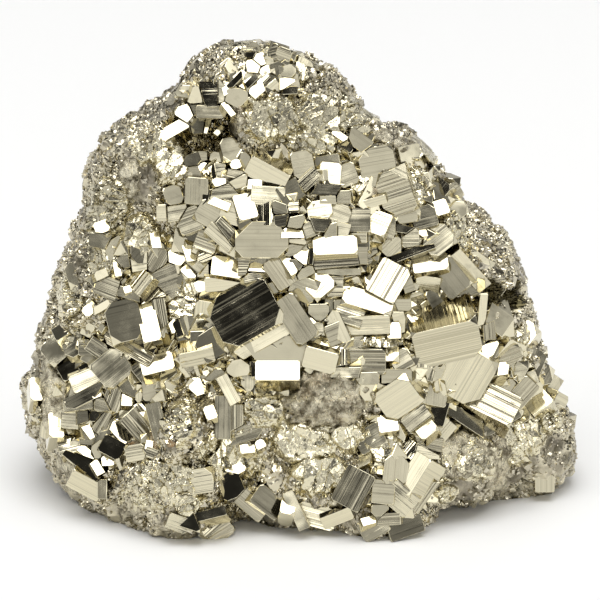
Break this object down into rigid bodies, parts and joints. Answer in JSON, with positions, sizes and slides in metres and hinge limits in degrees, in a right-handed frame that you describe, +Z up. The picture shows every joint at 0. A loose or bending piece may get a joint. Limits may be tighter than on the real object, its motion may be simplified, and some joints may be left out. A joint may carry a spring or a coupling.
{
  "type": "pyrite crystal cluster",
  "caption": "Palm-sized mineral specimen: granular brassy sulphide ore with striated block crystals crowding its leaning front, on a flat broken base.",
  "frame": {"origin": "on the flat base, under the middle of the cluster's width", "axes": "+Z up from the base, +X to the right along the width, -Y out of the crystallised front, which leans back by 20 degrees"},
  "size_m": [0.0947, 0.0569, 0.0767],
  "materials": {
    "pyrite": "bright metallic lustre, pale brassy grey, striated crystal faces among granular, lightly tarnished ore"
  },
  "bodies": {
    "root": {"pyrite_cluster": "pyrite"}
  },
  "joints": []
}
